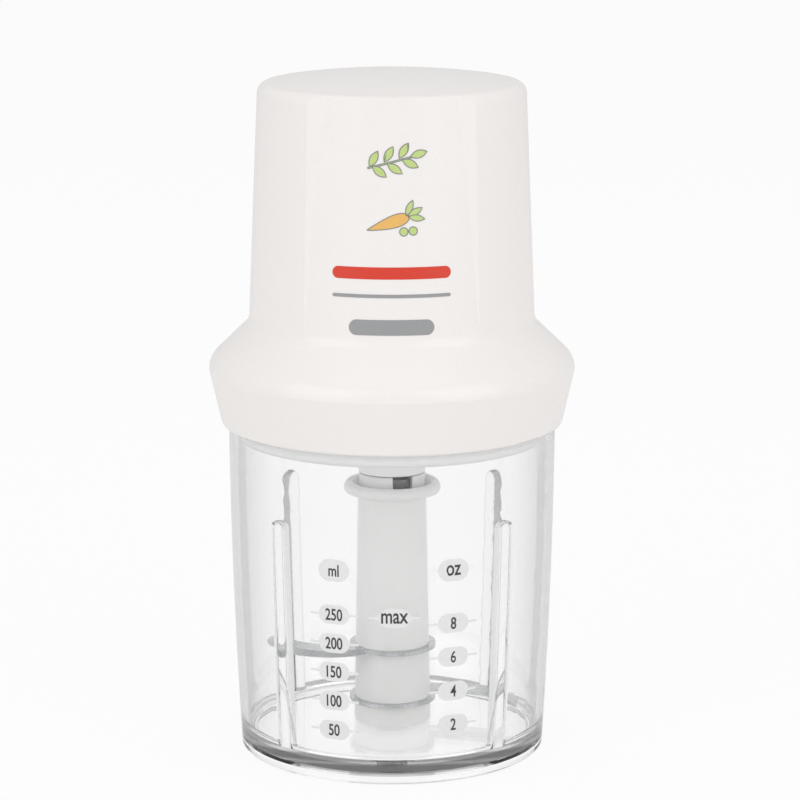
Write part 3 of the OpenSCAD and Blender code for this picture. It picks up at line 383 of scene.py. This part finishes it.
# %% Piece helpers
def add_form(target, form):
    """Adds one form to another and frees it."""
    spare = bpy.data.meshes.new("spare")
    form.to_mesh(spare)
    form.free()
    target.from_mesh(spare)
    bpy.data.meshes.remove(spare)


def piece_from(name, form, body, *finishes):
    """Makes the finished form a piece that rides on a body."""
    mesh = bpy.data.meshes.new(name)
    form.to_mesh(mesh)
    form.free()
    for material in finishes:
        mesh.materials.append(material)
    piece = bpy.data.objects.new(name, mesh)
    scene.collection.objects.link(piece)
    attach(piece, body)
    print(name, "faces:", len(mesh.polygons))
    return piece


# %% [markdown]
# ## The return springs
# Three coil springs between the seat ring and the head's base plate push the head up again. A coil is one
# circle of wire that is spun round an axis while it climbs, so each turn is a spin with a step upwards. The
# first and last turns climb by little more than the wire, as the closed ends of a real spring do. A solid
# spring would pass through the plate when the head is pressed.

# %% Return springs
SPRING_WIRE, SPRING_R, SPRING_LEN = 0.7 * MM, 3.1 * MM, 6.5 * MM
SPRING_FOOT = 109.45 * MM
SPRING_RING = 35.3 * MM
SPRING_ANGLES = (60, 180, 300)
CLOSED_TURNS, OPEN_TURNS = 0.75, 2.5
CLOSED_PITCH = 1.03
CLOSED_RISE = CLOSED_TURNS * CLOSED_PITCH * SPRING_WIRE
OPEN_RISE = SPRING_LEN - SPRING_WIRE - 2 * CLOSED_RISE
STEPS_PER_TURN = 28
WIRE_SEGMENTS = 12


def coil_spring():
    """One spring on its foot at the origin, as a spun circle of wire."""
    form = bmesh.new()
    upright = Matrix.Rotation(math.pi / 2, 4, "X")
    bmesh.ops.create_circle(form, segments=WIRE_SEGMENTS, radius=SPRING_WIRE / 2, matrix=upright)
    bmesh.ops.translate(form, verts=form.verts, vec=(SPRING_R, 0, SPRING_WIRE / 2))
    end = form.verts[:] + form.edges[:]
    closed = (CLOSED_TURNS, CLOSED_RISE)
    for turns, rise in (closed, (OPEN_TURNS, OPEN_RISE), closed):
        steps = round(turns * STEPS_PER_TURN)
        spun = bmesh.ops.spin(form, geom=end, axis=(0, 0, 1), cent=(0, 0, 0), angle=turns * math.tau,
                              steps=steps, dvec=(0, 0, rise / steps))
        end = spun["geom_last"]
    bmesh.ops.holes_fill(form, edges=[edge for edge in form.edges if edge.is_boundary])
    bmesh.ops.recalc_face_normals(form, faces=form.faces)
    return form


springs = bmesh.new()
foot = Matrix.Translation((SPRING_RING, 0, SPRING_FOOT))
for angle in SPRING_ANGLES:
    spring = coil_spring()
    place = Matrix.Rotation(math.radians(angle), 4, "Z") @ foot
    bmesh.ops.transform(spring, matrix=place, verts=spring.verts)
    add_form(springs, spring)
for face in springs.faces:
    face.smooth = len(face.verts) == 4
coils = piece_from("coil_springs", springs, "seat", spring_wire)
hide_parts("return_springs")
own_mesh(coils)

# %% [markdown]
# ## Printing
# Pad printing lays a thin film of ink on a curved moulding. Each print is drawn flat first, with x across,
# y up and z outwards, and then wrapped: a ray towards the middle of the moulding finds its surface, and the
# ink is set just outside it. So a print follows whatever carries it.

# %% Wrapping helpers
RAY_START = 0.2


def surface_of(node):
    """A ray-castable copy of a construction piece."""
    mesh = nodes[node].data
    return BVHTree.FromPolygons([v.co for v in mesh.vertices], [p.vertices for p in mesh.polygons])


def outward(angle):
    """The level direction that looks out of the front, turned to the right by an angle."""
    return Vector((math.sin(angle), -math.cos(angle), 0))


def radius_at(surface, angle, height):
    """How far out the surface lies in a direction, at a height."""
    start = RAY_START * outward(angle) + Vector((0, 0, height))
    hit = surface.ray_cast(start, -outward(angle))[0]
    return hit.to_2d().length


def wrap(form, surface, angle, height, lift):
    """Lays a flat drawing round the surface, centred at an angle from the front and a height."""
    middle = radius_at(surface, angle, height)
    for vert in form.verts:
        turn = angle + vert.co.x / middle
        up = height + vert.co.y
        reach = radius_at(surface, turn, up) + lift + vert.co.z
        vert.co = reach * outward(turn) + Vector((0, 0, up))


# %% [markdown]
# ### A film of ink
# A flat drawing can only bend at its edges, so it is cut into upright strips before it is given its
# thickness. A bar with round ends, which most of the prints use, is a circle whose two halves are pulled
# apart.

# %% Ink helpers
INK = 0.06 * MM
INK_LIFT = 0.03 * MM
STRIP = 1.0 * MM


def slice_across(form, step):
    """Cuts a flat drawing into upright strips, so that it can bend."""
    count = int(max(vert.co.x for vert in form.verts) / step)
    for i in range(-count, count + 1):
        everything = form.verts[:] + form.edges[:] + form.faces[:]
        bmesh.ops.bisect_plane(form, geom=everything, plane_co=(i * step, 0, 0), plane_no=(1, 0, 0))


def inked(form, thickness=INK):
    """Gives a flat drawing the thickness of a film of ink."""
    slice_across(form, STRIP)
    bmesh.ops.solidify(form, geom=form.faces[:], thickness=thickness)
    low = min(vert.co.z for vert in form.verts)
    bmesh.ops.translate(form, verts=form.verts, vec=(0, 0, -low))
    return form


def oval(width, height, segments=32):
    """A flat bar with round ends: the halves of a circle, pulled apart."""
    form = bmesh.new()
    half_step = Matrix.Rotation(math.pi / segments, 4, "Z")
    bmesh.ops.create_circle(form, cap_ends=True, segments=segments, radius=height / 2, matrix=half_step)
    for vert in form.verts:
        vert.co.x += math.copysign((width - height) / 2, vert.co.x)
    return form


# %% [markdown]
# ### The measuring scale
# White ovals with dark numbers stand on short lines: millilitres to the left, ounces to the right, and the
# filling limit in the middle. The numbers are text that is made a mesh before it is wrapped.

# %% Lettering helper
BOLDER = 0.012


def numerals(words, height, squeeze):
    """Flat lettering of a given height, squeezed to a narrow face."""
    curve = bpy.data.curves.new("lettering", "FONT")
    curve.body = words
    curve.offset = BOLDER
    holder = bpy.data.objects.new("lettering", curve)
    scene.collection.objects.link(holder)
    bpy.context.view_layer.update()
    drawn = holder.evaluated_get(bpy.context.evaluated_depsgraph_get())
    flat = bpy.data.meshes.new_from_object(drawn)
    form = bmesh.new()
    form.from_mesh(flat)
    bpy.data.objects.remove(holder)
    bpy.data.curves.remove(curve)
    bpy.data.meshes.remove(flat)
    xs = [vert.co.x for vert in form.verts]
    ys = [vert.co.y for vert in form.verts]
    middle = Vector(((min(xs) + max(xs)) / 2, (min(ys) + max(ys)) / 2, 0))
    size = height / (max(ys) - min(ys))
    bmesh.ops.translate(form, verts=form.verts, vec=-middle)
    bmesh.ops.scale(form, verts=form.verts, vec=(size * squeeze, size, 1))
    return form


# %% Scale on the bowl
PAD_SIZE = (9.3 * MM, 5.7 * MM)
UNIT_PAD_SIZE = (9.3 * MM, 6.5 * MM)
LINE_SIZE = (14.9 * MM, 0.7 * MM)
LINE_SEGMENTS = 8
LINE_INK = INK * 0.8
DIGIT_H = 3.5 * MM
WORD_H = {"ml": 3.4 * MM, "oz": 3.1 * MM, "max": 3.1 * MM}
DIGIT_SQUEEZE = 0.72
# Places across and up the front of the bowl, in millimetres
MILLILITRE_X, OUNCE_X, LIMIT_X = -16.4, 17.5, 0.85
MILLILITRES = ((15.8, "50"), (24.6, "100"), (33.3, "150"), (41.8, "200"), (50.3, "250"))
OUNCES = ((17.4, "2"), (27.5, "4"), (37.7, "6"), (47.7, "8"))
LIMIT_Z = 50.0
UNIT_Z = 63.3
UNITS = ("ml", "oz")
MARKS = (
    [(MILLILITRE_X, z, words) for z, words in MILLILITRES]
    + [(OUNCE_X, z, words) for z, words in OUNCES]
    + [(LIMIT_X, LIMIT_Z, "max"), (MILLILITRE_X, UNIT_Z, "ml"), (OUNCE_X, UNIT_Z, "oz")]
)

bowl_surface = surface_of("bowl")
pads = bmesh.new()
digits = bmesh.new()
for x, z, words in MARKS:
    turn = math.asin(x * MM / radius_at(bowl_surface, 0, z * MM))
    if words in UNITS:
        shapes = [inked(oval(*UNIT_PAD_SIZE))]
    else:
        shapes = [inked(oval(*PAD_SIZE)), inked(oval(*LINE_SIZE, LINE_SEGMENTS), LINE_INK)]
    for shape in shapes:
        wrap(shape, bowl_surface, turn, z * MM, INK_LIFT)
        add_form(pads, shape)
    lettering = inked(numerals(words, WORD_H.get(words, DIGIT_H), DIGIT_SQUEEZE))
    wrap(lettering, bowl_surface, turn, z * MM, INK_LIFT + INK)
    add_form(digits, lettering)
for form in (pads, digits):
    bmesh.ops.recalc_face_normals(form, faces=form.faces)

pad_ink = finish("white_ink", (0.84, 0.835, 0.84), 0.5, grain=1500, tint=0.05)
digit_ink = finish("grey_ink", (0.06, 0.055, 0.058), 0.5, grain=1500, tint=0.2)
piece_from("scale_pads", pads, "bowl", pad_ink)
piece_from("scale_digits", digits, "bowl", digit_ink)

# %% [markdown]
# ### Prints on the head's front panel
# Two small kitchen drawings with grey outlines, a red stripe, a thin grey stripe and a grey bar. A leaf is a
# circle whose sides are drawn to a point at both ends, and a carrot is one that narrows to its tip.
# Insetting the filled face leaves a rim, and the rim takes the outline's ink.

# %% Drawing helpers for the front
OUTLINE = 0.28 * MM
WELD = 0.001 * MM
FILL, RIM = 0, 1
LEAF_SEGMENTS, CARROT_SEGMENTS, DISC_SEGMENTS = 28, 32, 24
CARROT_TAPER = 0.38


def outlined(form):
    """Splits a flat face into an outline and a filling."""
    rim = bmesh.ops.inset_region(
        form, faces=form.faces[:], thickness=OUTLINE, use_boundary=True, use_even_offset=True)
    for face in form.faces:
        face.material_index = FILL
    for face in rim["faces"]:
        face.material_index = RIM
    return form


def leaf(length, width):
    """A circle whose two sides are bent to parabolas that meet at the tips."""
    form = bmesh.new()
    bmesh.ops.create_circle(form, cap_ends=True, segments=LEAF_SEGMENTS, radius=length / 2)
    for vert in form.verts:
        along = vert.co.x / (length / 2)
        vert.co.y = math.copysign(width / 2 * (1 - along * along), vert.co.y)
    bmesh.ops.remove_doubles(form, verts=form.verts, dist=WELD)
    return outlined(form)


def carrot(length, width):
    """A circle that is flattened, and more so towards its tip."""
    form = bmesh.new()
    bmesh.ops.create_circle(form, cap_ends=True, segments=CARROT_SEGMENTS, radius=length / 2)
    for vert in form.verts:
        along = vert.co.x / (length / 2)
        vert.co.y *= width / length * (1 - CARROT_TAPER + CARROT_TAPER * along)
    return outlined(form)


def disc(width):
    """A round filling with its outline."""
    return outlined(oval(width, width, DISC_SEGMENTS))


def put(form, x, y, turn=0):
    """Turns a flat drawing and moves it to its place, in millimetres and degrees."""
    spin = Matrix.Rotation(math.radians(turn), 3, "Z")
    bmesh.ops.rotate(form, verts=form.verts, cent=(0, 0, 0), matrix=spin)
    bmesh.ops.translate(form, verts=form.verts, vec=(x * MM, y * MM, 0))
    return form


# %% Printing helper for the front
LAYER_STEP = 0.004 * MM
panel_surface = surface_of("motor_housing")


def print_front(name, shapes, height, *inks):
    """Prints drawings on the front panel round one height, in millimetres."""
    whole = bmesh.new()
    for layer, shape in enumerate(shapes):
        wrap(inked(shape), panel_surface, 0, height * MM, INK_LIFT + layer * LAYER_STEP)
        add_form(whole, shape)
    bmesh.ops.recalc_face_normals(whole, faces=whole.faces)
    return piece_from(name, whole, "head", *inks)


# %% [markdown]
# ### The two drawings
# A sprig of leaves stands above a carrot with its green tops and two peas. Each leaf has its place, in
# millimetres, and its turn, in degrees. Forms that overlap lie in layers a few thousandths of a millimetre
# apart, so that none of them shows through another.

# %% Sprig and carrot
outline_ink = finish("outline_ink", (0.24, 0.25, 0.25), 0.45, grain=1500)
leaf_ink = finish("leaf_green_ink", (0.56, 0.70, 0.25), 0.45, grain=1500)
carrot_ink = finish("carrot_orange_ink", (0.86, 0.50, 0.14), 0.45, grain=1500)

SPRIG_Z, CARROT_Z = 178.5, 162.4
STEM_SIZE, STEM_SEGMENTS, STEM_TURN = (14 * MM, 0.7 * MM), 8, 14
LEAF_SIZE = (5.2 * MM, 2.4 * MM)
SPRIG_LEAVES = (
    (-5.0, 0.9, 62), (-3.4, -2.6, -38), (-0.8, 2.2, 60), (0.9, -1.8, -34), (3.4, 3.2, 58),
    (5.2, -0.4, -26), (7.6, 2.2, 16),
)
TOP_SIZE = (5.0 * MM, 2.0 * MM)
CARROT_TOPS = ((5.0, 3.4, 66), (6.6, 2.3, 28), (7.0, 0.6, -8))
CARROT_SIZE = (12.5 * MM, 5.4 * MM)
CARROT_PLACE = (-1.0, -0.9, 18)
PEA_WIDTH = 2.6 * MM
PEA_PLACES = ((3.4, -3.2), (6.0, -3.0))

stem = put(outlined(oval(*STEM_SIZE, STEM_SEGMENTS)), 0, 0, STEM_TURN)
sprig = [stem] + [put(leaf(*LEAF_SIZE), *place) for place in SPRIG_LEAVES]
print_front("herb_print", sprig, SPRIG_Z, leaf_ink, outline_ink)
tops = [put(leaf(*TOP_SIZE), *place) for place in CARROT_TOPS]
print_front("carrot_top_print", tops, CARROT_Z, leaf_ink, outline_ink)
root = put(carrot(*CARROT_SIZE), *CARROT_PLACE)
print_front("carrot_print", [root], CARROT_Z, carrot_ink, outline_ink)
peas = [put(disc(PEA_WIDTH), *place) for place in PEA_PLACES]
print_front("pea_print", peas, CARROT_Z, leaf_ink, outline_ink)

# %% [markdown]
# ### Stripes and bar
# Below the drawings the panel carries a red stripe, a thin grey stripe and a grey bar, each a bar with round
# ends in one ink.

# %% Stripes and bar
stripe_ink = finish("stripe_red_ink", (0.72, 0.045, 0.02), 0.4, grain=1500)
bar_ink = finish("bar_grey_ink", (0.335, 0.34, 0.345), 0.42, grain=1500)

STRIPE_Z, THIN_STRIPE_Z, BAR_Z = 147.6, 141.2, 132.4
STRIPE_SIZE = (34 * MM, 3.4 * MM)
THIN_STRIPE_SIZE, THIN_STRIPE_SEGMENTS = (34 * MM, 1.0 * MM), 12
BAR_SIZE = (24.2 * MM, 4.4 * MM)
print_front("red_stripe", [oval(*STRIPE_SIZE)], STRIPE_Z, stripe_ink)
print_front("thin_stripe", [oval(*THIN_STRIPE_SIZE, THIN_STRIPE_SEGMENTS)], THIN_STRIPE_Z, bar_ink)
print_front("grey_bar", [oval(*BAR_SIZE)], BAR_Z, bar_ink)
